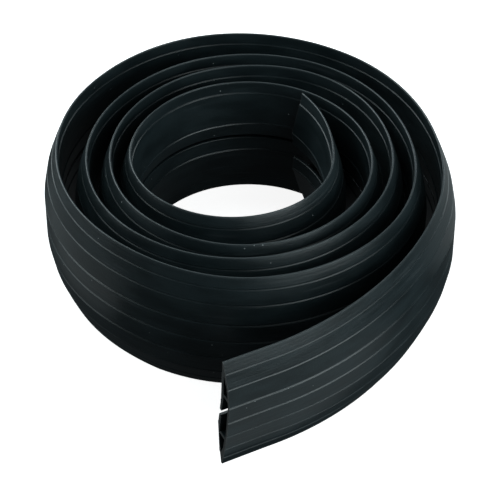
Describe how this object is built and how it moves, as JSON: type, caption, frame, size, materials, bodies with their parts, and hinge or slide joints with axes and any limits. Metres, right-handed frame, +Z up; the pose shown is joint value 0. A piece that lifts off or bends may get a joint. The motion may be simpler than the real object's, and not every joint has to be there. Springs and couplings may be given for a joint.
{
  "type": "floor cord cover",
  "caption": "Long black rubber strip with a grooved domed top and a flat slit base over a cable channel, rolled up on its edge as a loose coil.",
  "frame": {"origin": "on the floor, under the middle of the coil's box", "axes": "+Z up, across the strip's width; X along the straight lip at the coil's outer end, whose mouth faces -X; +Y from that lip towards the coil"},
  "size_m": [0.2948, 0.3496, 0.1],
  "materials": {
    "black_rubber": "satin black extruded rubber with a slight cool sheen"
  },
  "bodies": {
    "root": {"cord_cover": "black_rubber"}
  },
  "joints": []
}
